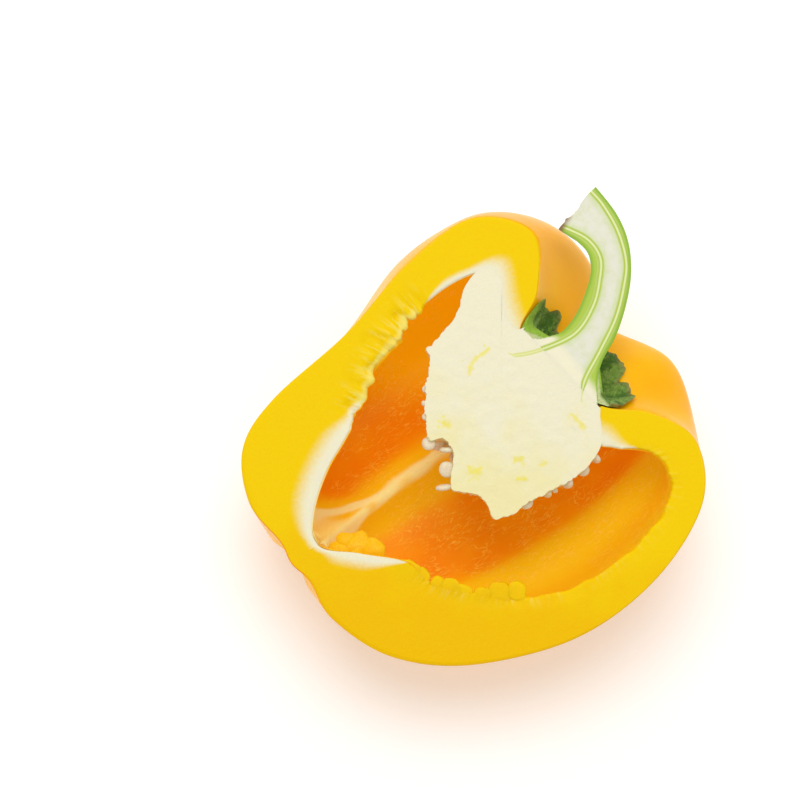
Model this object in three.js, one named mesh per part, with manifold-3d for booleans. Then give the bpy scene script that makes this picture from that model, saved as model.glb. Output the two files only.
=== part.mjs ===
// Half of a yellow bell pepper, cut lengthwise through its stem and laid on its back with the cut face up.
// Four pieces: the fleshy wall with its ribs, the pale seed core, the leafy calyx and the curved stem.
//
// Everything is modelled in the fruit's own frame, in millimetres: X runs along the fruit's axis towards
// the stem, the knife cut is the plane z = 0, and the half that is left lies below it. Y > 0 is the narrow
// edge of the cut and Y < 0 is the broad edge. The last section lays the half down as it comes to rest.
import * as THREE from "three";
import { ParametricGeometry } from "three/addons/geometries/ParametricGeometry.js";
import { mergeVertices } from "three/addons/utils/BufferGeometryUtils.js";
import Module from "manifold-3d";

const wasm = await Module();
wasm.setup();

// Driving dimensions, in millimetres and degrees.
const FLESH = 7; // thickness of the wall away from its ribs
const GAP = 0.3; // free space between neighbouring pieces
const BACK_FURROW = 78; // angle of the furrow between the two back lobes, and of the rib inside it
const NECK = { x: 30.8, slope: 0.118, side: 10.4 }; // where the core's neck ends and the stem's foot begins
const STEM_CENTRE_Y = -1.2; // the stem stands a little off the fruit's axis
const REST = { roll: 8.75, pitch: 7.75, flat: 0.5 }; // how the half leans at rest, and the depth of its flat spots
const FINEST_EDGE = 0.01; // shorter edges that a cut leaves behind are closed up
const KNIFE_SIZE = 300; // edge of the box that stands for all that the knife takes away

const smooth = (s) => s * s * (3 - 2 * s);
const ramp = (a, b, x) => smooth(THREE.MathUtils.clamp((x - a) / (b - a), 0, 1));
const bell = (distance, spread) => Math.exp(-((distance / spread) ** 2));
const rad = THREE.MathUtils.degToRad;

// An outline along the fruit, from the axis at the stem to the axis at the blossom end, through points that
// are [along the axis, out from the axis]. The points beyond its ends mirror it, so it meets the axis square.
function outline(...points) {
  const mirrored = ([x, r]) => [x, -r];
  const all = [mirrored(points[1]), ...points, mirrored(points.at(-2))];
  const curve = new THREE.SplineCurve(all.map(([x, r]) => new THREE.Vector2(x, r)));
  return (t) => curve.getPoint((1 + t * (points.length - 1)) / (all.length - 1));
}

// The skin's outlines round the back, from the narrow edge of the cut to the broad one. Crests are round.
// The crease of a furrow, at its shoulder and at its waist, says how sharp it is: 1 is a fold, 0 is a soft
// hollow, and less is flatter still.
const MERIDIANS = [
  {
    angle: 0,
    crease: [0.9, -0.35],
    at: outline([27, 0], [28.6, 10], [37, 15], [43.6, 25.5], [35, 35.5], [18, 35.5], [0, 31.5],
      [-20, 29.5], [-31, 25], [-36.6, 15], [-36, 5], [-36, 0]),
  },
  {
    angle: 53,
    at: outline([27, 0], [30, 10.5], [42, 15], [53.4, 27], [46.5, 41], [22, 49], [0, 46.8],
      [-20, 41], [-32, 29], [-37, 15], [-36, 5], [-36, 0]),
  },
  {
    angle: BACK_FURROW,
    crease: [0.5, 0.5],
    at: outline([27, 0], [29.5, 10.5], [38, 14.5], [47, 23], [41, 33], [20, 36], [0, 34.5],
      [-19, 31], [-29, 24.5], [-33.5, 13], [-35, 5], [-36, 0]),
  },
  {
    angle: 118,
    at: outline([27, 0], [31, 11], [44, 14.5], [54, 23.8], [45.2, 34.4], [22, 38.2], [0, 36],
      [-20, 31.5], [-32, 26], [-37, 14], [-36, 5], [-36, 0]),
  },
  {
    angle: 180,
    crease: [0.3, 0.1],
    at: outline([27, 0], [33, 12], [40, 19], [43.8, 29], [37, 40], [20, 46.5], [0, 46.3],
      [-20, 38], [-32, 27], [-37, 14], [-36.2, 5], [-36, 0]),
  },
];

// Ribs stand inwards from the wall: their crests are outlines too. The two that the knife ran along leave
// the thick pale flesh of the cut edges, and the one between the back lobes climbs to the core as a web.
const RIBS = [
  {
    angle: 0,
    spread: 11,
    crest: outline([24, 0], [25, 10], [27, 17], [30.5, 23.5], [26.5, 26.2], [17, 26.6], [4, 23.4],
      [-10.5, 15], [-19, 11.2], [-24.5, 7], [-27.8, 2], [-28.5, 0]),
  },
  {
    angle: BACK_FURROW + 6,
    spread: 9,
    crest: outline([24, 0], [23, 5], [21, 9], [17, 11.5], [12, 13.5], [6, 16.5], [-2, 19.5],
      [-11, 20], [-19, 17], [-25, 11.5], [-28, 5], [-28.5, 0]),
  },
  {
    angle: 180,
    spread: 12,
    crest: outline([24, 0], [24.5, 11], [28, 18.6], [35.3, 26], [33, 34.5], [20, 38.8], [3, 36.8],
      [-10, 27.7], [-16.3, 20], [-18, 13.5], [-24, 7.5], [-28.5, 0]),
  },
];
const RIDGE = { angle: 137, spread: 6, height: 2, from: 0.25, to: 0.6 }; // low ridge inside the broad lobe

// The skin's outline at an angle round the axis, as (along, out). lift is a distance out of the surface.
function skin(t, angle, lift = 0) {
  const next = Math.max(1, MERIDIANS.findIndex((m) => angle <= m.angle));
  const [a, b] = [MERIDIANS[next - 1], MERIDIANS[next]];
  const furrow = a.crease === undefined ? b : a;
  const s = Math.abs(angle - furrow.angle) / (b.angle - a.angle);
  const fold = Math.sin((s * Math.PI) / 2);
  const crease = THREE.MathUtils.lerp(...furrow.crease, ramp(0.42, 0.56, t));
  const climb = smooth(s) + crease * (fold - smooth(s));
  const crest = furrow === a ? b : a;
  const here = furrow.at(t).lerp(crest.at(t), climb);
  return lift ? here.add(outward(t, angle).multiplyScalar(lift)) : here;
}

// The direction out of the skin, in the plane of the axis.
function outward(t, angle) {
  const step = 1e-3;
  const along = skin(Math.min(1, t + step), angle).sub(skin(Math.max(0, t - step), angle));
  const normal = new THREE.Vector2(along.y, -along.x).normalize();
  return t === 0 || t === 1 ? normal.setY(0).normalize() : normal;
}

// The inside of the wall: the skin moved in by the flesh, drawn to the crest of each rib near its angle.
function inside(t, angle) {
  const ridge = RIDGE.height * bell(angle - RIDGE.angle, RIDGE.spread);
  const along = ramp(RIDGE.from - 0.1, RIDGE.from, t) - ramp(RIDGE.to, RIDGE.to + 0.1, t);
  const here = skin(t, angle, -FLESH - ridge * along);
  for (const rib of RIBS) here.lerp(rib.crest(t), bell(angle - rib.angle, rib.spread));
  return here;
}

// A closed body from an outline that changes round the axis. The part in front of the cut mirrors the back.
function bodyRound(outlineAt, slices, stacks) {
  return new ParametricGeometry(
    (u, t, target) => {
      const turn = 2 * Math.PI * u;
      const angle = THREE.MathUtils.radToDeg(Math.acos(THREE.MathUtils.clamp(Math.cos(turn), -1, 1)));
      const here = outlineAt(t, angle);
      target.set(here.x, here.y * Math.cos(turn), -here.y * Math.sin(turn));
    },
    slices,
    stacks,
  );
}

// Turns a closed geometry into a solid that can be joined and cut. Triangles that a pole collapses go.
function solid(geometry) {
  const bare = new THREE.BufferGeometry().setAttribute("position", geometry.getAttribute("position"));
  bare.setIndex(geometry.index);
  const merged = mergeVertices(bare, 1e-4);
  const corners = [];
  for (let i = 0; i < merged.index.count; i += 3) {
    const [a, b, c] = [0, 1, 2].map((k) => merged.index.getX(i + k));
    if (a !== b && b !== c && c !== a) corners.push(a, b, c);
  }
  const vertProperties = merged.attributes.position.array;
  const triVerts = new Uint32Array(corners);
  return new wasm.Manifold(new wasm.Mesh({ numProp: 3, vertProperties, triVerts, tolerance: FINEST_EDGE }));
}

function meshOf(name, body, color, roughness) {
  const { vertProperties, triVerts } = body.getMesh();
  const geometry = new THREE.BufferGeometry();
  geometry.setAttribute("position", new THREE.BufferAttribute(vertProperties, 3));
  geometry.setIndex(new THREE.BufferAttribute(triVerts, 1));
  geometry.computeVertexNormals();
  const material = new THREE.MeshStandardMaterial({ color, roughness, metalness: 0, flatShading: true });
  const mesh = new THREE.Mesh(geometry, material);
  mesh.name = name;
  return mesh;
}

// The core's outline on the cut face, round its middle. It starts inside the stem's foot, takes in the pale
// arm that runs to the narrow shoulder, the rounded end where the seeds sit, and the side by the broad edge.
const CORE = { middle: new THREE.Vector3(16, 0, 0), depth: 17, armDepth: 5, armAngle: 56, armSpread: 17 };
const coreEdge = new THREE.CatmullRomCurve3(
  [
    [37, 0], [32.5, 9], [28.4, 11.4], [28.9, 16.5], [32.3, 21.5], [31, 25.6], [25.4, 24.6], [20.6, 21],
    [13.2, 19], [8.4, 14.2], [3.4, 9], [2.4, 3], [1.6, -3], [-1, -7.5], [1.6, -12.4], [1.8, -16.8],
    [5, -18.6], [10.6, -18.8], [17, -20], [23, -20], [28, -18], [31.2, -13.4], [34, -9.5],
  ].map(([x, y]) => new THREE.Vector3(x, y, 0)),
  true,
  "catmullrom",
);

// A point of the core's surface: round its edge by u, and from the deepest point below (v = 0) to the cut
// face (v = 0.5) and on to its mirror image above it. grow is a distance out of the surface.
function coreSurface(u, v, target, grow = 0) {
  const spoke = coreEdge.getPoint(u % 1).sub(CORE.middle);
  const reach = spoke.length();
  const direction = THREE.MathUtils.radToDeg(Math.atan2(spoke.y, spoke.x));
  const share = Math.sin(Math.PI * v);
  const arm = ramp(11, 18, reach * share) * bell(direction - CORE.armAngle, CORE.armSpread);
  const depth = THREE.MathUtils.lerp(CORE.depth, CORE.armDepth, arm) + grow;
  spoke.setLength((reach + grow) * share);
  target.copy(CORE.middle).add(spoke);
  target.z = -depth * Math.cos(Math.PI * v);
}

// Seeds are flat discs that stand on the core by their edge, in a spiral over the faces that look into the
// cavity. They come up to the cut face only towards the broad edge of the cut. None grows on the neck or on
// the arm, or so near the wall and its ribs that it would touch them.
const SEED = { count: 110, across: 3.8, thick: 1.5, sunk: 1.1, sides: 7, rings: 3, inView: [0.52, 0.86] };
function seedPlaces() {
  const places = [];
  for (let i = 0; i < SEED.count; i++) {
    const [here, onward, aside] = [new THREE.Vector3(), new THREE.Vector3(), new THREE.Vector3()];
    const u = (i * 0.38197) % 1;
    const inView = u > SEED.inView[0] && u < SEED.inView[1];
    const v = 0.12 + (inView ? 0.34 : 0.2) * Math.sqrt((i + 0.5) / SEED.count);
    coreSurface(u, v, here);
    coreSurface(u, v + 0.01, onward);
    coreSurface(u + 0.01, v, aside);
    const out = aside.sub(here).cross(onward.sub(here)).normalize();
    const onNeck = here.x > 24 || (here.x > 18 && here.y > 12);
    if (onNeck) continue;
    places.push({ at: here.clone().addScaledVector(out, SEED.across / 2 - SEED.sunk), out, turn: i * 2.4 });
  }
  return places;
}

function seed({ at, out, turn }, grow = 0) {
  const disc = new THREE.SphereGeometry(SEED.across / 2 + grow, SEED.sides, SEED.rings);
  disc.scale(1, 1, (SEED.thick / 2 + grow) / (SEED.across / 2 + grow));
  disc.rotateY(turn);
  disc.applyQuaternion(new THREE.Quaternion().setFromUnitVectors(new THREE.Vector3(0, 1, 0), out));
  disc.translate(at.x, at.y, at.z);
  return solid(disc);
}

function seedCore(wall) {
  let core = solid(new ParametricGeometry((u, v, target) => coreSurface(u, v, target), 46, 18));
  for (const place of seedPlaces()) {
    const touches = wall.intersect(seed(place, GAP)).volume() > 0;
    if (!touches) core = core.add(seed(place));
  }
  return core.subtract(beyondNeck(-GAP / 2));
}

// All that lies past the end of the neck, towards the stem, or before it where side is -1. It keeps clear of
// the core's arm. shift moves the end along the axis.
function beyondNeck(shift, side = 1) {
  const box = new THREE.BoxGeometry(KNIFE_SIZE, KNIFE_SIZE, KNIFE_SIZE);
  box.translate((side * KNIFE_SIZE) / 2, -KNIFE_SIZE / 2, 0);
  box.rotateZ(Math.atan(NECK.slope));
  box.translate(NECK.x - NECK.slope * NECK.side + shift, NECK.side, 0);
  return solid(box);
}

// The stem: a ribbed tube on a curve in the cut plane, flared at its foot and again at its cut end.
const stemLine = new THREE.CatmullRomCurve3(
  [
    [27, -1.6], [30, -1.4], [33, -0.9], [37, 0], [42, 1.8], [47.1, 5], [51.4, 8.8], [54.2, 13.4],
    [55, 18.4], [54.2, 24.5],
  ].map(([x, y]) => new THREE.Vector3(x, y, 0)),
  false,
  "catmullrom",
);
const STEM_RADII = [11.6, 10.8, 7.6, 5.2, 4.7, 4.4, 4.2, 4.4, 5.1, 6];
const STEM_RIDGES = { count: 5, height: 0.06 };
const stemRadius = new THREE.SplineCurve(STEM_RADII.map((r, i) => new THREE.Vector2(i, r)));
const END_CUT = { at: new THREE.Vector3(54.4, 25.2, 0), turn: 23 }; // the slanting cut across the stem's tip

function stemSurface(u, v, target, grow = 0) {
  const length = THREE.MathUtils.clamp((v - 0.04) / 0.92, 0, 1);
  const centre = stemLine.getPoint(length);
  const side = new THREE.Vector3(0, 0, 1).cross(stemLine.getTangent(length)).normalize();
  const turn = 2 * Math.PI * u;
  const ridges = 1 + STEM_RIDGES.height * Math.cos(STEM_RIDGES.count * turn) * ramp(0.15, 0.4, length);
  const closed = v <= 0 || v >= 1 ? 0 : 1;
  const radius = closed * (stemRadius.getPoint(length).y * ridges + grow);
  target.copy(centre).addScaledVector(side, radius * Math.cos(turn));
  target.z += radius * Math.sin(turn);
}

const stemBody = (grow) =>
  solid(new ParametricGeometry((u, v, target) => stemSurface(u, v, target, grow), 20, 26));

function stem() {
  const tip = new THREE.BoxGeometry(40, 20, 40);
  tip.translate(0, 10, 0);
  tip.rotateZ(rad(END_CUT.turn));
  tip.translate(END_CUT.at.x, END_CUT.at.y, 0);
  return stemBody(0).subtract(solid(tip)).subtract(beyondNeck(GAP / 2, -1));
}

// The calyx: a green collar round the stem's foot, lying against the wall of the stem cavity. It is dished at
// the stem, and its rim rises with the shoulders of the fruit, away from the cut. The knife went between two
// lobes on either side.
const CALYX = { inner: 4, outer: 13, lobes: 6, lobeReach: 1.2, foot: 27, dish: 34.4, rise: 6.6, curl: 0.9 };
const CALYX_ROWS = 5; // round its section: foot inside and outside, rim, and the dish halfway and inside
function calyxSurface(u, v, target) {
  const turn = 2 * Math.PI * u;
  const lobe = -Math.cos(CALYX.lobes * turn + 0.3);
  const row = Math.round(v * CALYX_ROWS) % CALYX_ROWS;
  const across = [0, 1, 1, 0.6, 0][row];
  const radius = THREE.MathUtils.lerp(CALYX.inner, CALYX.outer + CALYX.lobeReach * lobe, across);
  const rim = CALYX.dish + CALYX.rise * Math.sqrt(Math.abs(Math.sin(turn))) + CALYX.curl * (1 + lobe);
  const halfway = THREE.MathUtils.lerp(CALYX.dish, rim, 0.3);
  target.set(
    [CALYX.foot, CALYX.foot, rim, halfway, CALYX.dish][row],
    STEM_CENTRE_Y + radius * Math.cos(turn),
    radius * Math.sin(turn),
  );
}

const coreHole = solid(new ParametricGeometry((u, v, target) => coreSurface(u, v, target, GAP), 46, 18));
const coreRoom = coreHole.subtract(beyondNeck(0));
const knifeBox = new THREE.BoxGeometry(KNIFE_SIZE, KNIFE_SIZE, KNIFE_SIZE).translate(0, 0, KNIFE_SIZE / 2);
const knife = solid(knifeBox);
const stemFoot = stemBody(GAP);
const skinBody = solid(bodyRound(skin, 60, 33));
const paddedSkin = solid(bodyRound((t, angle) => skin(t, angle, GAP), 60, 33));
const cavity = solid(bodyRound(inside, 72, 30));

function calyx() {
  const collar = solid(new ParametricGeometry(calyxSurface, 36, CALYX_ROWS));
  return collar.subtract(paddedSkin).subtract(stemFoot).subtract(coreRoom).subtract(beyondNeck(GAP / 2, -1));
}

// How the half lies: rolled towards its broad edge and dipped at its blossom end, on the flat spots of the
// two back lobes. The table takes a sliver off the lowest points of the wall, as the flesh gives there.
const lean = new THREE.Euler(rad(REST.roll), rad(-REST.pitch), 0, "YXZ");
const leanMatrix = new THREE.Matrix4().makeRotationFromEuler(lean);
const whole = skinBody.subtract(cavity).subtract(coreHole).subtract(knife);

function bounds(body) {
  const positions = new THREE.BufferAttribute(body.getMesh().vertProperties, 3).clone().applyMatrix4(leanMatrix);
  return new THREE.Box3().setFromBufferAttribute(positions);
}

const tableHeight = bounds(whole).min.z + REST.flat;
const table = new THREE.BoxGeometry(KNIFE_SIZE, KNIFE_SIZE, KNIFE_SIZE);
table.translate(0, 0, tableHeight - KNIFE_SIZE / 2).applyMatrix4(leanMatrix.clone().invert());

const pieces = {
  fruit_wall: { body: whole.subtract(solid(table)), color: 0xf6b50a, roughness: 0.3 },
  seed_core: { body: seedCore(whole).subtract(knife), color: 0xf3ecc4, roughness: 0.6 },
  calyx: { body: calyx().subtract(knife), color: 0x4f8a3c, roughness: 0.6 },
  stem: { body: stem().subtract(paddedSkin).subtract(knife), color: 0xa9c93c, roughness: 0.5 },
};

const pepper = new THREE.Group();
const box = new THREE.Box3();
for (const [name, { body, color, roughness }] of Object.entries(pieces)) {
  pepper.add(meshOf(name, body, color, roughness));
  box.union(bounds(body));
}
pepper.setRotationFromEuler(lean);
const middle = box.getCenter(new THREE.Vector3());
pepper.position.set(-middle.x, -middle.y, -box.min.z);

const laid = new THREE.Group();
laid.add(pepper);
export default laid;
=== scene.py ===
import functools
import math

import bmesh
import bpy
from mathutils import Matrix, Vector, kdtree, noise


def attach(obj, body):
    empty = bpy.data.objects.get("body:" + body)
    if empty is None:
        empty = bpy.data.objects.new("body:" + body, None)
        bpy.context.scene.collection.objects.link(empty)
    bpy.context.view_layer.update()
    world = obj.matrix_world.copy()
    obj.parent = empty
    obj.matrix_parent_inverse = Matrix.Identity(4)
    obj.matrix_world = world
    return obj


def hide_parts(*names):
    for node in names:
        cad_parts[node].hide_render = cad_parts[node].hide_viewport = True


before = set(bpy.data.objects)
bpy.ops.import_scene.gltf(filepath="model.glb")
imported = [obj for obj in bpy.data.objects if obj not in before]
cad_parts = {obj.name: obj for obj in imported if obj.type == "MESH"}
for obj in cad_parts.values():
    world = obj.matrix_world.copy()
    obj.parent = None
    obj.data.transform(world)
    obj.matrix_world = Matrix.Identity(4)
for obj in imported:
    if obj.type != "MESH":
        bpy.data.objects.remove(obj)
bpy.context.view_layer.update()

# Camera
# It looks down on the cut face through a long lens, from beyond the blossom end and the broad edge of the cut.
camera = bpy.data.objects.new("camera", bpy.data.cameras.new("camera"))
bpy.context.scene.collection.objects.link(camera)
bpy.context.scene.camera = camera
camera.data.lens = 100
camera.data.sensor_width = 36
camera.data.clip_start = 0.01
camera.matrix_world = (
    Matrix.Translation((-0.109227, -0.112111, 0.460249))
    @ Matrix.Rotation(math.radians(-37.55), 4, "Z")
    @ Matrix.Rotation(math.radians(90 - 69.14), 4, "X")
    @ Matrix.Rotation(math.radians(1.48), 4, "Z")
)

# Fruit wall
# The flesh of the half grew in one piece, with a waxy skin outside, a soft lining inside, and ribs that stand
# in from it. The knife ran along two of the ribs, so thick flesh shows as a band round the hollow.

# Points are in millimetres in the fruit's own frame: X is its axis, towards the stem, the cut is the plane
# z = 0, and the half lies below it. Angles go round the back, from the narrow edge of the cut (0) to the broad
# one (180), and t goes along the skin or the lining, from the axis at the stem (0) to the blossom end (1).
LEAN = Matrix.Rotation(math.radians(-7.75), 3, "Y") @ Matrix.Rotation(math.radians(8.75), 3, "X")
FRUIT_PLACE = Vector((-11.236, 2.2374, 34.7997))
MM = 0.001
FLESH = 7
SKIN_INSET = 0.1
CUT_EDGE = 0.3
SKIN_LENGTH = 150
BACK_FURROW = 78
RIDGE_ANGLE = 149
FLAP_ALONG = 78.5
PITH = (0.88, 0.83, 0.6)

# noise_vector, which makes the skin uneven, differs from run to run unless it is seeded.
noise.seed_set(7)


def smooth(s):
    return s * s * (3 - 2 * s)


def ramp(a, b, x):
    return smooth(min(1, max(0, (x - a) / (b - a))))


def bell(distance, spread):
    return math.exp(-((distance / spread) ** 2))


def lerp(a, b, share):
    return a + (b - a) * share


def curve(before, points, after):
    """The smooth curve through some points, by the share of the way; before and after steer it at its ends."""
    knots, spans = [before, *points, after], len(points) - 1

    def at(share):
        i = min(spans - 1, int(share * spans))
        s = share * spans - i
        p0, p1, p2, p3 = knots[i : i + 4]
        v1, v2 = (p2 - p0) / 2, (p3 - p1) / 2
        return (2 * p1 - 2 * p2 + v1 + v2) * s**3 + (3 * p2 - 3 * p1 - 2 * v1 - v2) * s**2 + v1 * s + p1

    return functools.lru_cache(maxsize=None)(at)


def outline(*points):
    """An outline from the axis at the stem to the axis at the blossom end, through (along, out) points."""
    points = [Vector(p) for p in points]
    mirrored = [Vector((p.x, -p.y)) for p in points]
    return curve(mirrored[1], points, mirrored[-2])


# The skin's outlines. For each: its angle, how a furrow is creased at its shoulder and at its waist, from a
# soft hollow (0) to a fold (1), and the outline.
MERIDIANS = [
    (0, (0.9, -0.35), outline(
        (27, 0), (28.6, 10), (37, 15), (43.6, 25.5), (35, 35.5), (18, 35.5), (0, 31.5),
        (-20, 29.5), (-31, 25), (-36.6, 15), (-36.2, 5), (-37, 0))),
    (53, None, outline(
        (27, 0), (30, 10.5), (42, 15), (53.4, 27), (46.5, 41), (22, 49), (0, 46.8),
        (-20, 41), (-32, 29), (-37, 15), (-36.2, 5), (-37, 0))),
    (BACK_FURROW, (0.5, 0.5), outline(
        (27, 0), (29.5, 10.5), (38, 14.5), (47, 23), (41, 33), (20, 36), (0, 34.5),
        (-19, 31), (-29, 24.5), (-33.5, 13), (-35.6, 5), (-37, 0))),
    (118, None, outline(
        (27, 0), (31, 11), (44, 14.5), (54, 23.8), (45.2, 34.4), (22, 38.2), (0, 36),
        (-20, 31.5), (-32, 26), (-37, 14), (-36.2, 5), (-37, 0))),
    (180, (0.3, 0.1), outline(
        (27, 0), (33, 12), (40, 19), (43.8, 29), (37, 40), (20, 46.5), (0, 46.3),
        (-20, 38), (-32, 27), (-37, 14), (-36.2, 5), (-37, 0))),
]

# The crests of the ribs: one under each edge of the cut, and one inside the back furrow. For each: its angle,
# how far it spreads round the axis, and its outline. Between the last two a low ridge runs along the lining.
RIBS = [
    (0, 11, outline(
        (24, 0), (25, 10), (27, 17), (30.5, 23.5), (26.5, 26.2), (17, 26.6), (4, 23.4),
        (-10.5, 15), (-19, 11.2), (-25, 7.4), (-29.4, 3), (-30.2, 0))),
    (BACK_FURROW + 6, 9, outline(
        (24, 0), (23, 5), (21, 9), (17, 11.5), (12, 13.5), (6, 16.5), (-2, 19.5),
        (-11, 20), (-19, 17), (-25, 11.5), (-29, 5), (-30.2, 0))),
    (180, 12, outline(
        (24, 0), (24.5, 11), (28, 18.6), (35.3, 26), (33, 34.5), (20, 38.8), (3, 36.8),
        (-10, 27.7), (-16.3, 20), (-18, 13.5), (-24.4, 6.6), (-30.2, 0))),
]


@functools.lru_cache(maxsize=None)
def bare_skin(t, angle):
    """The skin's outline at an angle round the axis."""
    i = next(i for i in range(1, len(MERIDIANS)) if angle <= MERIDIANS[i][0])
    a, b = MERIDIANS[i - 1], MERIDIANS[i]
    furrow, crest = (a, b) if a[1] else (b, a)
    s = abs(angle - furrow[0]) / (b[0] - a[0])
    crease = lerp(*furrow[1], ramp(0.42, 0.56, t))
    climb = smooth(s) + crease * (math.sin(s * math.pi / 2) - smooth(s))
    return furrow[2](t).lerp(crest[2](t), climb)


def skin(t, angle, lift=0):
    """The skin's outline moved out of the surface by lift."""
    run = bare_skin(min(1, t + 1e-3), angle) - bare_skin(max(0, t - 1e-3), angle)
    out = Vector((run.y, 0 if t in (0, 1) else -run.x))
    return bare_skin(t, angle) + lift * out.normalized()


@functools.lru_cache(maxsize=None)
def inside(t, angle):
    """The inside of the wall: the skin moved in by the flesh, drawn to the crest of each rib near its angle."""
    ridge = 1.6 * bell(angle - RIDGE_ANGLE, 7) * (ramp(0.15, 0.25, t) - ramp(0.6, 0.7, t))
    meets_ribs = 0.2 * ramp(0.9, 1, t)
    here = skin(t, angle, -FLESH - ridge + meets_ribs)
    for rib_angle, spread, crest in RIBS:
        here = here.lerp(crest(t), bell(angle - rib_angle, spread))
    return here


def torn(t, angle):
    """Where the knife tore the spongy flesh at the inner edge of the cut instead of slicing it."""
    narrow = ramp(0.44, 0.48, t) * (1 - ramp(0.6, 0.65, t))
    broad = 0.5 * ramp(0.52, 0.58, t) * (1 - ramp(0.74, 0.8, t))
    broad += 0.25 * ramp(0.14, 0.2, t) * (1 - ramp(0.5, 0.57, t))
    return narrow * ramp(20, 3, angle) if angle < 90 else broad * ramp(160, 177, angle)


def pith_at(t, angle, deep):
    """How white the flesh is at some depth from the hollow: most at the neck and where the ribs join."""
    if angle < 90:
        width = 6.5 * ramp(0.58, 0.67, t) * (1 - 0.6 * ramp(0.8, 0.96, t))
        width = width + 2.4 * ramp(0.48, 0.4, t) + 5 * ramp(0.36, 0.26, t)
    else:
        width = 6.5 * ramp(0.8, 0.87, t) * (1 - 0.7 * ramp(0.91, 0.98, t))
        width += 7 * ramp(0.26, 0.14, t)
    return max(0, 1 - deep / max(width, 0.5)) * ramp(0, 1.5, width)


def rib_at(t, angle):
    """How pale the lining is: on the forked middle rib, the low ridge, by the cut and where the ribs join."""
    fork, wander = ramp(0.66, 0.86, t), 2 * noise.noise(Vector((t * 9, 0, 0)))
    middle = max(bell(angle - lerp(83, turned, fork) + wander, 9 - 3 * fork) for turned in (54, 94))
    middle *= ramp(0.25, 0.4, t) * (0.95 + 0.25 * noise.noise(Vector((t * 21, angle * 0.2, 7))))
    ridge = (0.45 * bell(angle - RIDGE_ANGLE, 10) + 0.3 * ramp(136, 152, angle)) * ramp(0.12, 0.26, t)
    ends = 0.84 * ramp(0.66, 0.8, t) * ramp(122, 106, angle)
    halo = 0.45 * bell(angle - 95, 9) * ramp(0.3, 0.5, t)
    edges = max(bell(angle, 8) * ramp(0.34, 0.5, t), 0.8 * bell(180 - angle, 12))
    return 1 - (1 - min(1, middle)) * (1 - ridge) * (1 - ends) * (1 - halo) * (1 - 0.6 * edges)


def wall_at(t, angle, across):
    """A point of the wall, from its inside (across = 0) to its skin (across = 1), and its masks."""
    inner, outer = inside(t, angle), skin(t, angle, -SKIN_INSET)
    width = (outer - inner).length
    deep = width * across
    turn = math.radians(angle)

    def turned(flat):
        return Vector((flat.x, flat.y * math.cos(turn), -flat.y * math.sin(turn)))

    inwards = (turned(inner) - turned(outer)).normalized()
    here = turned(inner.lerp(outer, across))
    along = t * SKIN_LENGTH

    # A tear leaves lumps and teeth, and one longer flap at the narrow edge.
    rag = torn(t, angle) * ramp(7 if angle < 90 else 3, 0.3, deep)
    if rag > 0.001:
        lumps = noise.noise(here * 0.3 + Vector((7, 3, 1)))
        teeth = abs(noise.noise(Vector((along * 0.42, deep * 0.12, angle * 0.1))))
        teeth += 0.4 * abs(noise.noise(Vector((along * 1.1, deep * 0.2, 5 + angle * 0.1)))) - 0.25
        teeth += 0.9 * bell(along - FLAP_ALONG, 1.7) * ramp(90, 30, angle)
        patchy = 0.9 + 1.6 * noise.noise(Vector((along * 0.13, 3.3, 0)))
        here += rag * inwards * (1.5 * lumps + 1.6 * patchy * teeth)
        here.z += rag * (0.9 * teeth + 0.6 * lumps - 0.7)

    # The cut is rounded where it meets the lining and the skin, and the skin is a little uneven.
    if angle in (0, 180):
        for gap, edge in ((deep, 2 * CUT_EDGE), (width - deep, CUT_EDGE)):
            if gap < edge:
                here.z -= edge * (1 - math.sqrt(1 - (1 - gap / edge) ** 2))
    else:
        here += across * 0.06 * noise.noise_vector(here * 0.09)

    neck = ramp(0.105, 0.093, t) * across
    return here, (pith_at(t, angle, deep), rag, width - deep, along, rib_at(t, angle), neck)


def sheet(bm, columns, rows, place, material=0):
    """A grid of faces laid where place(u, v) says, which also gives the masks of each point."""
    made = bmesh.ops.create_grid(bm, x_segments=columns, y_segments=rows, size=0.5)["verts"]
    for face in {face for vertex in made for face in vertex.link_faces}:
        face.material_index = material
        face.smooth = True
    layers = bm.verts.layers.float.values()
    for vertex in made:
        vertex.co, masks = place(vertex.co.x + 0.5, vertex.co.y + 0.5)
        for layer, value in zip(layers, masks):
            vertex[layer] = value


def ball(bm, size, place, masks=(), material=0):
    """A small closed ball whose points are laid where place says."""
    made = bmesh.ops.create_uvsphere(bm, u_segments=16, v_segments=10, radius=size)["verts"]
    for face in {face for vertex in made for face in vertex.link_faces}:
        face.material_index = material
        face.smooth = True
    for vertex in made:
        vertex.co = place(vertex.co)
        for layer, value in zip(bm.verts.layers.float.values(), masks):
            vertex[layer] = value


def new_bmesh(*masks):
    bm = bmesh.new()
    for mask in masks:
        bm.verts.layers.float.new(mask)
    return bm


def finish_piece(bm, name, node, materials, sharp=50):
    """Closes a mesh, lays it down with the fruit, which is flat where it rests on the floor, and has it ride on
    the frame in place of a CAD node."""
    bmesh.ops.remove_doubles(bm, verts=bm.verts, dist=1e-3)
    bmesh.ops.recalc_face_normals(bm, faces=bm.faces)
    for vertex in bm.verts:
        vertex.co = LEAN @ vertex.co + FRUIT_PLACE
        vertex.co.z = max(vertex.co.z, 0)
        vertex.co *= MM
    mesh = bpy.data.meshes.new(name)
    bm.to_mesh(mesh)
    bm.free()
    mesh.set_sharp_from_angle(angle=math.radians(sharp))
    for material in materials:
        mesh.materials.append(material)
    piece = bpy.data.objects.new(name, mesh)
    bpy.context.scene.collection.objects.link(piece)
    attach(piece, "root")
    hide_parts(node)


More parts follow.
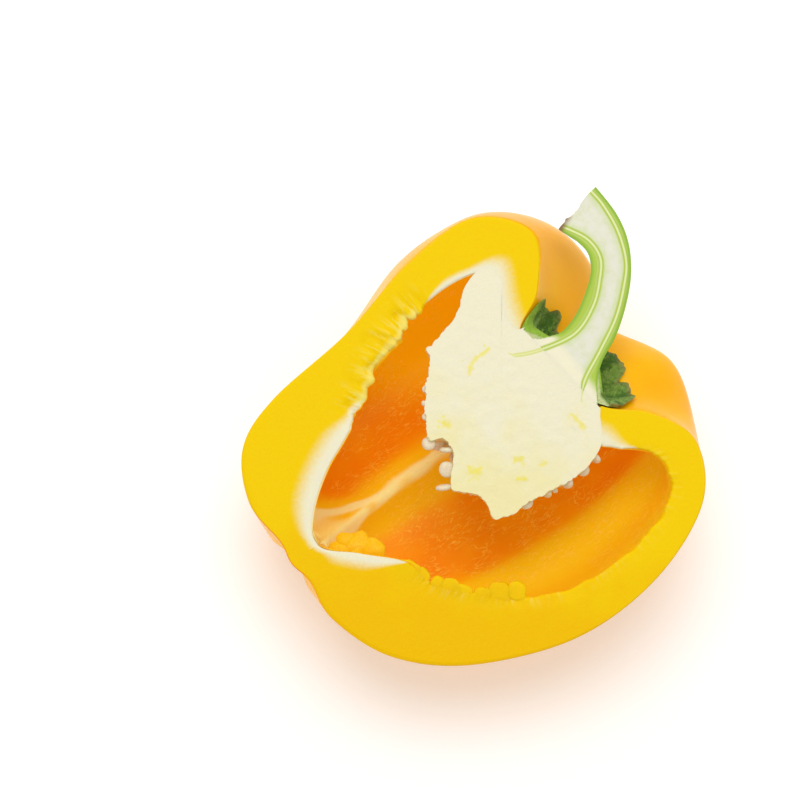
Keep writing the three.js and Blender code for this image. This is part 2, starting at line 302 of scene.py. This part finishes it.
class Shade:
    """A socket in a material's nodes. Sums with it add Math nodes, and make adds any other node."""

    def __init__(self, tree, socket=None):
        self.tree, self.socket = tree, socket

    def make(self, kind, settings, inputs, output=0):
        node = self.tree.nodes.new("ShaderNode" + kind)
        for name, value in settings.items():
            setattr(node, name, value)
        for name, value in inputs.items():
            if isinstance(value, Shade):
                self.tree.links.new(value.socket, node.inputs[name])
            elif node.inputs[name].type == "RGBA" and len(value) == 3:
                node.inputs[name].default_value = (*value, 1)
            else:
                node.inputs[name].default_value = value
        return Shade(self.tree, node.outputs[output] if node.outputs else None)

    def math(self, operation, a, b=0.0):
        return self.make("Math", {"operation": operation}, {0: a, 1: b})

    def __add__(self, other):
        return self.math("ADD", self, other)

    def __sub__(self, other):
        return self.math("SUBTRACT", self, other)

    def __rsub__(self, other):
        return self.math("SUBTRACT", other, self)

    def __mul__(self, other):
        return self.math("MULTIPLY", self, other)

    def __abs__(self):
        return self.math("ABSOLUTE", self)

    __radd__ = __add__
    __rmul__ = __mul__

    def between(self, low, high):
        """0 up to low and 1 from high on, or the other way round, with a soft step between them."""
        return self.make(
            "MapRange", {"interpolation_type": "SMOOTHSTEP"},
            {"Value": self, "From Min": low, "From Max": high})

    def mask(self, name):
        return self.make("Attribute", {"attribute_name": name}, {}, "Fac")

    def noise(self, place, scale, detail=3.0, rough=0.5, twist=0.0):
        return self.make(
            "TexNoise", {},
            {"Vector": place, "Scale": scale, "Detail": detail, "Roughness": rough, "Distortion": twist})

    def towards(self, direction, place):
        """How far a place lies in some direction."""
        return self.make("VectorMath", {"operation": "DOT_PRODUCT"}, {0: place, 1: direction}, "Value")

    def blend(self, share, one, other):
        """A share of the way from one colour to the other; a Mix node's colour sockets have these numbers."""
        return self.make("Mix", {"data_type": "RGBA"}, {0: share, 6: one, 7: other}, 2)


def new_material(name):
    """A new material, its first shade, and the fruit's own frame in millimetres as coordinates."""
    material = bpy.data.materials.new(name)
    material.use_nodes = True
    material.node_tree.nodes.clear()
    shade = Shade(material.node_tree)
    back = LEAN.inverted()
    place = shade.make("Mapping", {}, {
        "Vector": shade.make("TexCoord", {}, {}, "Object"),
        "Location": -(back @ FRUIT_PLACE),
        "Rotation": back.to_euler(),
        "Scale": (1 / MM, 1 / MM, 1 / MM),
    })
    return material, shade, place


def surface(shade, bump, depth, sockets):
    """The finish of a material: its Principled shader, with a bump of some depth in millimetres."""
    normal = shade.make("Bump", {}, {"Height": bump, "Distance": depth * MM, "Strength": 1.0})
    finish = shade.make("BsdfPrincipled", {}, {"Normal": normal, **sockets})
    shade.make("OutputMaterial", {}, {"Surface": finish})


def skin_material():
    """A waxy skin. Its small emission is a painted glow that brightens the skin where it lies in shade,
    standing in for light that comes through the thin wall, as in the lining.
    """
    material, shade, place = new_material("pepper_skin")
    mottle = shade.noise(place, 0.05, 3.0)
    colour = shade.blend(mottle.between(0.35, 0.65), (0.87, 0.43, 0.001), (0.86, 0.37, 0.001))
    flecks = shade.noise(place, 1.5, 2.0).between(0.6, 0.75)
    colour = shade.blend(flecks * 0.1, colour, (0.95, 0.58, 0.02))
    colour = shade.blend(shade.mask("neck") * 0.8, colour, (0.45, 0.1, 0.01))
    dimples = shade.noise(place, 0.22, 2.0) + shade.noise(place, 2.0, 3.0) * 0.1
    surface(shade, dimples, 0.2, {
        "Base Color": colour, "Roughness": 0.3, "Specular IOR Level": 0.04,
        "Coat Weight": 0.22, "Coat Roughness": 0.08, "Coat IOR": 1.4,
        "Subsurface Weight": 0.1, "Subsurface Radius": (1.0, 0.5, 0.1), "Subsurface Scale": 0.003,
        "Emission Color": colour, "Emission Strength": 0.2,
    })
    return material


def flesh_material():
    material, shade, place = new_material("pepper_flesh")
    pith, rag, to_skin = shade.mask("pith"), shade.mask("rag"), shade.mask("to_skin")
    grain = shade.noise(place, 1.3, 4.0, 0.6)
    clouds = shade.noise(place, 0.1, 2.0)
    # The flesh turns from yellow to a deeper orange towards the blossom end and the broad edge of the cut.
    oranger_to_blossom = (shade.towards((0.7, 0.7, 0.0), place) + (clouds - 0.5) * 30).between(-10, -34)
    colour = shade.blend(oranger_to_blossom, (0.92, 0.62, 0.001), (0.9, 0.53, 0.001))
    white = (pith + (grain - 0.5) * 0.25 * pith.between(0.0, 0.3)).between(0.08, 0.75)
    colour = shade.blend(white, colour, PITH)
    streaky = shade.make("CombineXYZ", {}, {"X": shade.mask("along"), "Y": to_skin * 0.16})
    streaks = shade.noise(streaky, 1.1, 3.0, 0.6)
    colour = shade.blend(rag * streaks.between(0.5, 0.62) * 0.45, colour, (0.92, 0.8, 0.2))
    colour = shade.blend(rag * streaks.between(0.48, 0.38) * 0.35, colour, (0.86, 0.5, 0.002))
    colour = shade.blend(rag.between(0.86, 1.0) * 0.5, colour, (0.92, 0.84, 0.25))
    colour = shade.blend(to_skin.between(0.4, 0.1) * 0.5, colour, (0.93, 0.5, 0.02))
    surface(shade, grain * 0.6 + rag * streaks * 2, 0.16, {
        "Base Color": colour, "Roughness": 0.5, "Specular IOR Level": 0.05,
        "Subsurface Weight": 0.1, "Subsurface Radius": (1.0, 0.6, 0.1), "Subsurface Scale": 0.003,
    })
    return material


def lining_material():
    material, shade, place = new_material("pepper_lining")
    warp = shade.make("TexNoise", {}, {"Vector": place, "Scale": 0.15, "Detail": 2.0}, "Color")
    swirled = shade.make("VectorMath", {"operation": "MULTIPLY_ADD"}, {0: warp, 1: (5, 5, 5), 2: place})
    strands = shade.make("VectorMath", {"operation": "MULTIPLY"}, {0: swirled, 1: (0.3, 1, 1)})
    wrinkle = shade.noise(strands, 1.0, 2.0, 0.5)
    fibres = abs(wrinkle - 0.5).between(0.035, 0.0)
    where = shade.noise(place, 0.13, 2.0).between(0.35, 0.55)
    rib = shade.mask("rib")
    pale, crest = rib.between(0.05, 0.6), rib.between(0.74, 0.95)
    blossom_pocket = {0: place, 1: (-29.0, 0.0, -1.0)}
    pocket = shade.make("VectorMath", {"operation": "DISTANCE"}, blossom_pocket, "Value")
    depth = shade.noise(place, 0.07, 2.0).between(0.35, 0.65)
    shoulder = shade.towards((0.6, 0.8, 0.0), place).between(10, 26)
    colour = shade.blend(depth, (0.68, 0.23, 0.001), (0.66, 0.18, 0.001))
    colour = shade.blend(shoulder, colour, (0.74, 0.38, 0.001))
    colour = shade.blend(pale, colour, (0.67, 0.38, 0.004))
    colour = shade.blend(fibres * where * 0.6, colour, (0.76, 0.42, 0.04))
    colour = shade.blend(crest, colour, (0.68, 0.58, 0.22))
    colour = shade.blend(pocket.between(3.2, 1.0) * 0.6, colour, (0.5, 0.2, 0.02))
    # The emission is a painted glow that brightens the shaded hollow, standing in for light that bounces about
    # inside and comes through the thin wall.
    surface(shade, fibres * where, 0.04, {
        "Base Color": colour, "Roughness": 0.45, "Specular IOR Level": 0.15,
        "Subsurface Weight": 0.4, "Subsurface Radius": (1.0, 0.4, 0.1), "Subsurface Scale": 0.004,
        "Emission Color": colour, "Emission Strength": 0.4,
    })
    return material


# The wall stops at the neck, where the core and the stem take its place. Its masks say how white its flesh is,
# how torn, how far from the skin and how far along it, how pale its lining is, and how near the neck it is.
NECK_T = 0.09
ROUND, ALONG, THROUGH = 108, 320, 22
SKIN, CUT, LINING = range(3)


def down(v):
    """How far along the skin a share of the wall's length is."""
    return lerp(NECK_T, 1, v)


def into(u):
    """The share of the way across, with the faces closer together near both sides."""
    return 0.5 * u + 0.25 * (1 - math.cos(math.pi * u))


wall = new_bmesh("pith", "rag", "to_skin", "along", "rib", "neck")
sheet(wall, ROUND, ALONG, lambda u, v: wall_at(down(v), 180 * into(u), 1), SKIN)
sheet(wall, ROUND, ALONG, lambda u, v: wall_at(down(v), 180 * into(u), 0), LINING)
sheet(wall, THROUGH, ALONG, lambda u, v: wall_at(down(v), 0, into(u)), CUT)
sheet(wall, THROUGH, ALONG, lambda u, v: wall_at(down(v), 180, into(u)), CUT)
sheet(wall, THROUGH, ROUND, lambda u, v: wall_at(NECK_T, 180 * into(v), into(u)), CUT)

# Swollen cells stand out of the torn flesh at the broad edge, and soft lumps of lining where the ribs join. For
# each: its middle, its size, how much it is flattened, and its material.
SWELLINGS = [
    ((-19.0, -14.8, -1.2), 2.4, 1, CUT), ((-17.3, -17.5, -1.2), 1.8, 1, CUT),
    ((-15.6, -20.6, -1.2), 1.5, 1, CUT), ((-14.6, -23.1, -1.2), 2.4, 1, CUT),
    ((-12.9, -25.1, -1.2), 2.0, 1, CUT), ((-9.7, -28.2, -1.2), 1.9, 1, CUT),
    ((-7.0, -29.9, -1.2), 2.5, 1, CUT), ((-4.0, -31.5, -1.2), 2.1, 1, CUT),
    ((-25.3, -3.0, -4.2), 2.4, 0.7, LINING), ((-23.6, -4.9, -3.6), 2.6, 0.6, LINING),
    ((-21.8, -7.3, -3.3), 2.5, 0.6, LINING), ((-27.9, -3.6, -4.4), 2.8, 0.9, LINING),
    ((-26.6, -6.4, -4.6), 3.4, 0.8, LINING), ((-24.8, -9.2, -4.4), 3.4, 0.8, LINING),
]
SWELLING_MASKS = (0.1, 0, 5, 0, 0.74, 0)


def add_swelling(middle, size, squash, material):
    """A lumpy ball in the wall, sliced off just below the cut."""
    middle = Vector(middle)

    def lumpy(co):
        here = middle + Vector((co.x, co.y, co.z * squash)) * (1 + 0.4 * noise.noise(middle + co * 0.5))
        here.z = min(here.z, -0.25 - 0.05 * size)
        return here

    ball(wall, size, lumpy, SWELLING_MASKS, material)


for swelling in SWELLINGS:
    add_swelling(*swelling)
wall_materials = [skin_material(), flesh_material(), lining_material()]
finish_piece(wall, "wall", "fruit_wall", wall_materials)

# Seed core
# The spongy white placenta hangs from the neck into the hollow, with an arm that runs into the narrow shoulder.
# The knife went through its middle. Flat seeds stand on it by their edge, where it looks into the hollow.
CORE_MIDDLE = Vector((16, 0, 0))
CORE_DEPTH, ARM_DEPTH, ARM_ANGLE, ARM_SPREAD = 17, 5, 56, 17
NECK_X, NECK_SLOPE, NECK_SIDE = 30.8, 0.118, 10.4
CORE_RING = [Vector((*p, 0)) for p in (
    (37, 0), (32.5, 9), (28.4, 11.4), (28.9, 16.5), (32.3, 21.5), (31, 25.6), (25.4, 24.6), (20.6, 21),
    (13.4, 19.2), (11.2, 19), (10.6, 16.6), (6.6, 12.8), (3.2, 8.6), (1.1, 5), (0.6, 3.3), (2.9, 2),
    (2.6, -1.8), (-1.8, -7), (1.4, -11), (1.9, -14.2), (1.3, -17), (5, -18.6), (10.6, -18.8), (17, -20),
    (23, -20), (28, -18), (31.2, -13.4), (34, -9.5))]
core_edge = curve(CORE_RING[-1], [*CORE_RING, CORE_RING[0]], CORE_RING[1])
CORE_PROUD = 0.015
CORE_ROUND, CORE_OUT = 300, 60
VEIN_STEPS = 300
FAR_INSIDE, FAR_OUTSIDE = -20, 20


def core_at(u, v):
    """A point of the core: round its edge by u, and from its deepest point (v = 0) to the cut (v = 0.5)."""
    spoke = core_edge(u % 1) - CORE_MIDDLE
    direction = math.degrees(math.atan2(spoke.y, spoke.x))
    share = math.sin(math.pi * v)
    arm = ramp(11, 18, spoke.length * share) * bell(direction - ARM_ANGLE, ARM_SPREAD)
    depth = lerp(CORE_DEPTH, ARM_DEPTH, arm)
    here = CORE_MIDDLE + spoke * share
    here.z = -depth * math.cos(math.pi * v)
    free = ramp(27, 22, here.x) * ramp(0.15, 0.4, share)
    crumbs = noise.noise(here * 0.6) * 0.4 + noise.noise(here * 1.7) * 0.35
    return here + spoke.normalized() * share * free * crumbs


def at_neck(here):
    """Holds a point of the core back to the end of its neck, where the stem begins."""
    end = NECK_X - NECK_SLOPE * here.y
    return Vector((min(here.x, end), here.y, here.z)) if here.y < NECK_SIDE else here


def vein_line(*points):
    """A green strand of the stem, as close points and a finder of the nearest one."""
    points = [Vector((*p, 0)) for p in points]
    line = curve(2 * points[0] - points[1], points, 2 * points[-1] - points[-2])
    close = [line(i / VEIN_STEPS) for i in range(VEIN_STEPS + 1)]
    finder = kdtree.KDTree(len(close))
    for i, point in enumerate(close):
        finder.insert(point, i)
    finder.balance()
    return close, finder


# The green strands of the stem run down into the core on either side of its pith.
NARROW_VEIN = vein_line(
    (24.1, 8.2), (25.5, 6.7), (30.2, 4.7), (37.6, 3.3), (44, 5.6), (48.7, 9.4), (51.4, 12.9), (51.6, 17.5),
    (49.2, 22.5), (48, 24.5))
BROAD_VEIN = vein_line(
    (29.9, -8.7), (33.3, -5.6), (39.4, -2.7), (46.2, 0.8), (51.6, 5.1), (55.2, 9), (57.7, 15), (58.6, 20.9),
    (58.5, 24.5), (58, 28))


def beyond_veins(here):
    """How far a point is outside the pith between the two strands, which fade out at their start in the core;
    inside the pith it is less than 0."""
    furthest, taper = FAR_INSIDE, 0
    for (close, finder), side in ((NARROW_VEIN, 1), (BROAD_VEIN, -1)):
        nearest, i, distance = finder.find(here)
        run = close[min(i + 1, len(close) - 1)] - close[max(i - 1, 0)]
        reach = side * run.cross(here - nearest).z / run.length
        past_end = i in (0, len(close) - 1) and abs(reach) < 0.9 * distance
        outside = -distance if past_end else reach
        if outside > furthest:
            furthest, taper = outside, ramp(30, 0, i)
    return furthest * (1 + 3 * taper)


# Yellow marks in the cut face of the core: where each begins and ends, and how wide it is.
YELLOW_MARKS = [
    ((4.9, 4.6), (5.3, 3.6), 0.9), ((12.1, -10.3), (13, -10.9), 0.8), ((3.4, -6.7), (4.5, -7.4), 1.1),
    ((26.9, -10.2), (27.1, -13.4), 0.6), ((15.1, 9.6), (17.4, 11.2), 0.5), ((17.4, 11.2), (21.5, 11.3), 0.5),
    ((10, -13.6), (11.2, -14.6), 0.6), ((15.5, -14.1), (16.5, -14.4), 0.5),
]


def yellow_at(here):
    """How yellow the core is at a point of its cut face."""
    share = 0
    for start, end, size in YELLOW_MARKS:
        start, end = Vector((*start, 0)), Vector((*end, 0))
        run = end - start
        s = min(1, max(0, (here - start).dot(run) / run.length_squared))
        away = (start + s * run - here).length * (1 + 1.2 * noise.noise(here * 1.3))
        share = max(share, bell(away, size))
    return share


def core_material():
    material, shade, place = new_material("core_pith")
    sponge = shade.noise(place, 1.1, 5.0, 0.65)
    clouds = shade.noise(place, 0.12, 2.0)
    yellower = (shade.towards((0.8, 0.6, 0.0), place) + (clouds - 0.5) * 40).between(18, -6)
    colour = shade.blend(yellower, PITH, (0.88, 0.8, 0.42))
    colour = shade.blend(sponge.between(0.6, 0.8) * 0.25, colour, (0.8, 0.72, 0.38))
    yellow = shade.mask("yellow") * (sponge + 0.35)
    colour = shade.blend(yellow.between(0.1, 0.9) * 0.7, colour, (0.88, 0.76, 0.06))
    vein = shade.mask("veins")
    colour = shade.blend(abs(vein).between(0.65, 0.2) * 0.8, colour, (0.66, 0.7, 0.12))
    colour = shade.blend(abs(vein).between(0.2, 0.05) * 0.8, colour, (0.84, 0.86, 0.45))
    surface(shade, sponge, 0.14, {
        "Base Color": colour, "Roughness": 0.5, "Specular IOR Level": 0.2,
        "Subsurface Weight": 0.08, "Subsurface Radius": (1.0, 0.8, 0.45), "Subsurface Scale": 0.002,
    })
    return material


def core_shell(u, v):
    here = at_neck(core_at(u, v / 2))
    return here + Vector((0, 0, CORE_PROUD if v == 1 else 0)), (FAR_INSIDE, 0)


def core_face(u, v):
    here = at_neck(lerp(CORE_MIDDLE, core_at(u, 0.5), v))
    lumps = 0.1 * noise.noise(here * 0.5) * ramp(27, 24, here.x)
    here.z = CORE_PROUD + (lumps * ramp(1, 0.9, v))
    return here, (beyond_veins(here), yellow_at(here))


core = new_bmesh("veins", "yellow")
sheet(core, CORE_ROUND, CORE_OUT, core_shell)
sheet(core, CORE_ROUND, CORE_OUT, core_face)
finish_piece(core, "core", "seed_core", [core_material()], 60)

SEED_COUNT, SEED_ACROSS, SEED_THICK, SEED_SUNK = 110, 3.6, 1.4, 1.1
GOLDEN_SHARE = 0.38197
seeds = new_bmesh()


def add_seed(at, out, turn, across=SEED_ACROSS):
    """A flat seed with a thick rim, standing with its narrow foot on the core."""
    stand = Vector((0, 1, 0)).rotation_difference(out).to_matrix() @ Matrix.Rotation(turn, 3, "Y")

    def flattened(co):
        flat = SEED_THICK / across * (1 - 0.25 * bell(math.hypot(co.x, co.y), across / 5))
        narrow = 1 - 0.22 * ramp(0, -across / 2, co.y)
        return at + stand @ Vector((co.x * narrow, co.y, co.z * flat))

    ball(seeds, across / 2, flattened)


def seed_material():
    material, shade, place = new_material("seed_coat")
    cloud = shade.noise(place, 0.6, 3.0)
    colour = shade.blend(cloud.between(0.35, 0.65), (0.8, 0.68, 0.46), (0.82, 0.73, 0.54))
    surface(shade, shade.noise(place, 2.0, 3.0), 0.15, {
        "Base Color": colour, "Roughness": 0.35,
        "Subsurface Weight": 0.3, "Subsurface Radius": (1.0, 0.7, 0.4), "Subsurface Scale": 0.0015,
    })
    return material


# Most seeds go round the underside of the core by the golden ratio, so that no two rows line up.
for i in range(SEED_COUNT):
    u = (i * GOLDEN_SHARE) % 1
    v = 0.12 + 0.2 * math.sqrt((i + 0.5) / SEED_COUNT)
    here = core_at(u, v)
    out = (core_at(u + 0.01, v) - here).cross(core_at(u, v + 0.01) - here).normalized()
    by_neck = here.x >= 24
    under_arm = here.x > 18 and here.y > 12
    at_corner = here.x < 7 and here.y < -9
    if not (by_neck or under_arm or at_corner):
        add_seed(here + out * (SEED_ACROSS / 2 - SEED_SUNK), out, i * 2.4)

# Some stand in view by the cut, in the notch at the blossom end of the core and along its sides. For each: its
# middle, the way it stands, its turn about that way, and how wide it is.
SEEDS_IN_VIEW = [
    ((0.1, 3.2, -1.5), (-0.9, -0.2, 0), 0.15, 3.0), ((2.2, -0.1, -1.6), (-0.8, 0.6, 0), 1.4, 3.2),
    ((-0.1, -3.3, -1.6), (-1, 0.15, 0), -0.1, 3.5), ((-2.9, -5.9, -1.3), (-0.85, 0.5, 0), 1.3, 3.6),
    ((8.7, -18.2, -2.1), (-0.1, -1, 0), 0.2, 3.0), ((13.2, -18.9, -2.1), (0.1, -1, 0), 1.1, 3.0),
    ((14.8, -19.2, -2.4), (0.2, -1, 0), 1.5, 2.6), ((17.8, -19.8, -2.0), (0.1, -1, 0), 0.9, 3.2),
    ((22.0, -19.9, -2.2), (0.3, -1, 0), 0.5, 2.8), ((25.4, -19.4, -2.2), (0.3, -1, 0), 1.2, 2.8),
    ((6.4, 12.4, -1.2), (-0.7, 0.7, 0), 0.3, 1.9), ((4.4, 10.2, -1.2), (-0.7, 0.7, 0), 1.2, 1.7),
    ((2.8, 7.9, -1.2), (-0.8, 0.6, 0), 0.2, 1.6),
]
for at, aim, turn, across in SEEDS_IN_VIEW:
    add_seed(Vector(at), Vector(aim).normalized(), turn, across)
finish_piece(seeds, "seeds", "seed_core", [seed_material()], 60)

# Calyx
# The green collar of the flower stayed on round the stem's foot. It lies on the wall of the stem cavity, thick
# by the stem and thin and crumpled at its tips, and the knife went between two of its lobes on either side.
STEM_SIDE = -1.2
SHOULDER_T = 0.27
CALYX_INNER, CALYX_OUTER, CALYX_LEVEL = 4.5, 13.3, 10.2
CALYX_TIP, CALYX_SWELL = 0.9, 4.3
CALYX_GAP, CALYX_INSET = 0.2, 0.12


def skin_height(radius, angle):
    """How far along the axis the skin of the stem cavity is, some way out from the axis."""
    low, high = 0.0, SHOULDER_T
    for _ in range(12):
        t = (low + high) / 2
        low, high = (t, high) if bare_skin(t, angle).y < radius else (low, t)
    return bare_skin(low, angle).x


def calyx_at(turn, share, level):
    """A point of the collar: round the stem, out to the rim, and from its underside to its top."""
    angle = math.radians(180 * turn)
    reach = CALYX_OUTER + 0.7 * math.cos(6 * angle + 2.6)
    reach = reach + 1.8 * bell(turn - 0.06, 0.05) - 1.5 * bell(turn, 0.02)
    reach += 0.5 * noise.noise(Vector((turn * 17, 0, 0))) - 1.2 * ramp(0.93, 1, turn)
    radius = lerp(CALYX_INNER, reach, share)
    y, z = STEM_SIDE + radius * math.cos(angle), -radius * math.sin(angle) - CALYX_INSET
    around = math.degrees(math.atan2(-z, y))
    under = skin_height(max(CALYX_LEVEL, math.hypot(y, z)), min(180, max(0, around))) + CALYX_GAP
    thick = CALYX_TIP + CALYX_SWELL * (1 - share)
    lively = ramp(0.35, 1, share) * ramp(0, 0.06, turn) * ramp(1, 0.94, turn)
    folds = noise.noise(Vector((turn * 13, share * 2.2, 4)))
    folds += 0.5 * noise.noise(Vector((turn * 31, share * 5, 9)))
    lift = lively * max(0, 0.7 + 1.6 * folds)
    here = Vector((under + lift + thick * level, y, z))
    return here, ((1 - level) * thick, share - 0.6 * bell(turn, 0.085), folds)


def calyx_material():
    material, shade, place = new_material("calyx_leaf")
    rough = shade.noise(place, 0.9, 4.0, 0.6, 0.6)
    crumpled = (rough + shade.mask("folds") * 0.3).between(0.35, 0.7)
    colour = shade.blend(crumpled, (0.07, 0.17, 0.015), (0.23, 0.37, 0.06))
    colour = shade.blend(shade.mask("rim").between(0.7, 0.35), colour, (0.3, 0.5, 0.04))
    colour = shade.blend(shade.mask("rim").between(0.95, 1.0) * rough, colour, (0.35, 0.25, 0.1))
    colour = shade.blend(shade.mask("cut").between(0.15, 0.9), colour, (0.62, 0.68, 0.3))
    surface(shade, rough, 0.8, {
        "Base Color": colour, "Roughness": 0.42, "Specular IOR Level": 0.2,
        "Subsurface Weight": 0.1, "Subsurface Radius": (0.4, 0.8, 0.2), "Subsurface Scale": 0.001,
    })
    return material


def leaf_at(turn, share, level):
    """A point of the collar's leafy outside, where the knife's cut doesn't show."""
    here, masks = calyx_at(turn, share, level)
    return here, (0, *masks[1:])


calyx = new_bmesh("cut", "rim", "folds")
sheet(calyx, 100, 22, lambda u, v: leaf_at(u, v, 1))
sheet(calyx, 100, 22, lambda u, v: leaf_at(u, v, 0))
sheet(calyx, 100, 4, lambda u, v: leaf_at(u, 1, v))
sheet(calyx, 100, 4, lambda u, v: leaf_at(u, 0, v))
sheet(calyx, 22, 12, lambda u, v: calyx_at(0, u, v))
sheet(calyx, 22, 12, lambda u, v: calyx_at(1, u, v))
finish_piece(calyx, "calyx_collar", "calyx", [calyx_material()], 60)

# Stem
# The curved green stalk, ribbed and flared at its foot and its cut end, was split along its pith by the knife.
# Its cut face shows the pale pith between two green strands, and the green rind outside them.
STEM_LINE = [Vector((*p, 0)) for p in (
    (27, -1.6), (30, -1.4), (33, -0.9), (37, 0), (42, 1.8), (47.1, 5), (51.4, 8.8), (54.2, 13.4), (55, 18.4),
    (54.2, 24.5))]
stem_line = curve(2 * STEM_LINE[0] - STEM_LINE[1], STEM_LINE, 2 * STEM_LINE[-1] - STEM_LINE[-2])
STEM_RADII = [11.6, 10.8, 7.6, 5.2, 4.7, 4.4, 4.2, 4.4, 5.1, 6]
stem_radius = curve(STEM_RADII[0], STEM_RADII, STEM_RADII[-1])
STEM_INSET = 0.05
END_CUT, END_TURN = Vector((54.4, 25.2, 0)), math.radians(23)


def stem_at(length, turn, share):
    """A point of the stem: along it, round it from one edge of its cut face (0) to the other (1), and out."""
    run = stem_line(min(1, length + 1e-4)) - stem_line(max(0, length - 1e-4))
    side = Vector((0, 0, 1)).cross(run).normalized()
    angle = math.pi * (1 + turn)
    ridges = 1 + 0.06 * math.cos(5 * angle) * ramp(0.15, 0.4, length)
    out = side * math.cos(angle) + Vector((0, 0, math.sin(angle)))
    radius = stem_radius(length) * ridges - STEM_INSET
    here = stem_line(length) + out * radius * share
    foot = ramp(37, 31.5, here.x)
    here.z += CORE_PROUD * ramp(35, 33, here.x)
    return here, (radius * (1 - share), foot)


def stem_material():
    material, shade, place = new_material("stem_rind")
    streaks = shade.noise(place, 0.5, 3.0, 0.6)
    vein, rind, foot = shade.mask("veins"), shade.mask("rind"), shade.mask("foot")
    colour = shade.blend(streaks.between(0.4, 0.7), (0.78, 0.77, 0.63), (0.72, 0.73, 0.52))
    colour = shade.blend(vein.between(-2.2, -0.4) * 0.45, colour, (0.55, 0.66, 0.16))
    colour = shade.blend(vein.between(0.2, 1.0), colour, (0.42, 0.58, 0.04))
    colour = shade.blend(foot.between(0.3, 0.9), colour, PITH)
    colour = shade.blend(abs(vein).between(0.85, 0.35), colour, (0.42, 0.56, 0.03))
    colour = shade.blend(abs(vein).between(0.3, 0.12), colour, (0.74, 0.8, 0.38))
    colour = shade.blend((rind + foot * 0.5).between(1.0, 0.1), colour, (0.24, 0.44, 0.01))
    colour = shade.blend(shade.mask("tip") * (streaks + 0.45), colour, (0.2, 0.08, 0.02))
    surface(shade, streaks, 0.1, {
        "Base Color": colour, "Roughness": 0.4, "Specular IOR Level": 0.25, "Coat Weight": 0.05,
        "Subsurface Weight": 0.2, "Subsurface Radius": (0.8, 1.0, 0.4), "Subsurface Scale": 0.0015,
    })
    return material


def stem_outside(turn, length):
    return stem_at(length, turn, 1)[0], (FAR_OUTSIDE, 0)


def stem_face(across, length):
    """The cut face of the stem, from one of its edges over the middle line to the other."""
    here, masks = stem_at(length, 0 if across < 0.5 else 1, abs(2 * across - 1))
    return here, (beyond_veins(here), *masks)


stem = new_bmesh("veins", "rind", "foot", "tip")
sheet(stem, 48, 120, stem_outside)
sheet(stem, 56, 120, stem_face)
bmesh.ops.remove_doubles(stem, verts=stem.verts, dist=1e-3)

# It is cut off where the core's neck begins and, at a slant, at its far end. The pith shows in both cuts.
NECK_OUT = Vector((-1, -NECK_SLOPE, 0)).normalized()
END_OUT = Vector((-math.sin(END_TURN), math.cos(END_TURN), 0))
for end, out in ((Vector((NECK_X, 0, 0)), NECK_OUT), (END_CUT, END_OUT)):
    everything = [*stem.verts, *stem.edges, *stem.faces]
    cut = bmesh.ops.bisect_plane(stem, geom=everything, plane_co=end, plane_no=out, clear_outer=True)
    edges = [edge for edge in cut["geom_cut"] if isinstance(edge, bmesh.types.BMEdge)]
    cap = bmesh.ops.contextual_create(stem, geom=edges)
    middle = bmesh.ops.poke(stem, faces=cap["faces"])["verts"][0]
    middle[stem.verts.layers.float["veins"]] = -4
    middle[stem.verts.layers.float["rind"]] = 4

# The cut end is uneven, and its rim has dried brown.
for vertex in stem.verts:
    beyond = (vertex.co - END_CUT).dot(END_OUT)
    if beyond > -4:
        rim = ramp(2.2, 4.5, abs(END_OUT.cross(vertex.co - END_CUT).z))
        vertex[stem.verts.layers.float["tip"]] = ramp(-1.4, -0.1, beyond) * rim
        reach = 0.4 * noise.noise(vertex.co * 1.3) - 0.9 * (1 - rim)
        vertex.co += END_OUT * reach * ramp(-1.5, 0, beyond)
finish_piece(stem, "stalk", "stem", [stem_material()])

# Floor and light
# A plain pale floor under soft studio light: a broad light overhead, a lower one behind, and a pale room. The
# floor's small emission stands for light that the room throws back.
floor_bmesh = bmesh.new()
bmesh.ops.create_grid(floor_bmesh, x_segments=1, y_segments=1, size=1.5)
floor_mesh = bpy.data.meshes.new("floor")
floor_bmesh.to_mesh(floor_mesh)
floor_bmesh.free()
floor = bpy.data.objects.new("floor", floor_mesh)
bpy.context.scene.collection.objects.link(floor)
floor_material, floor_shade, floor_place = new_material("pale_floor")
surface(floor_shade, floor_shade.noise(floor_place, 0.02, 2.0), 0.05, {
    "Base Color": (0.86, 0.86, 0.86), "Roughness": 0.6, "Specular IOR Level": 0.2,
    "Emission Color": (1.0, 1.0, 1.0), "Emission Strength": 0.22,
})
floor_mesh.materials.append(floor_material)


def light(name, place, size, power):
    lamp = bpy.data.lights.new(name, "AREA")
    lamp.shape, lamp.size, lamp.energy = "DISK", size, power
    made = bpy.data.objects.new(name, lamp)
    made.location = place
    made.rotation_euler = (-Vector(place)).to_track_quat("-Z", "Y").to_euler()
    bpy.context.scene.collection.objects.link(made)


light("overhead", (0.1, 0.2, 1.1), 0.8, 5.3)
light("behind", (0.55, 0.8, 0.5), 0.6, 1.2)
bpy.context.scene.view_settings.view_transform = "Standard"
world = bpy.data.worlds.new("room")
bpy.context.scene.world = world
world.use_nodes = True
walls = world.node_tree.nodes["Background"].inputs
walls["Color"].default_value = (1, 1, 1, 1)
walls["Strength"].default_value = 0.62
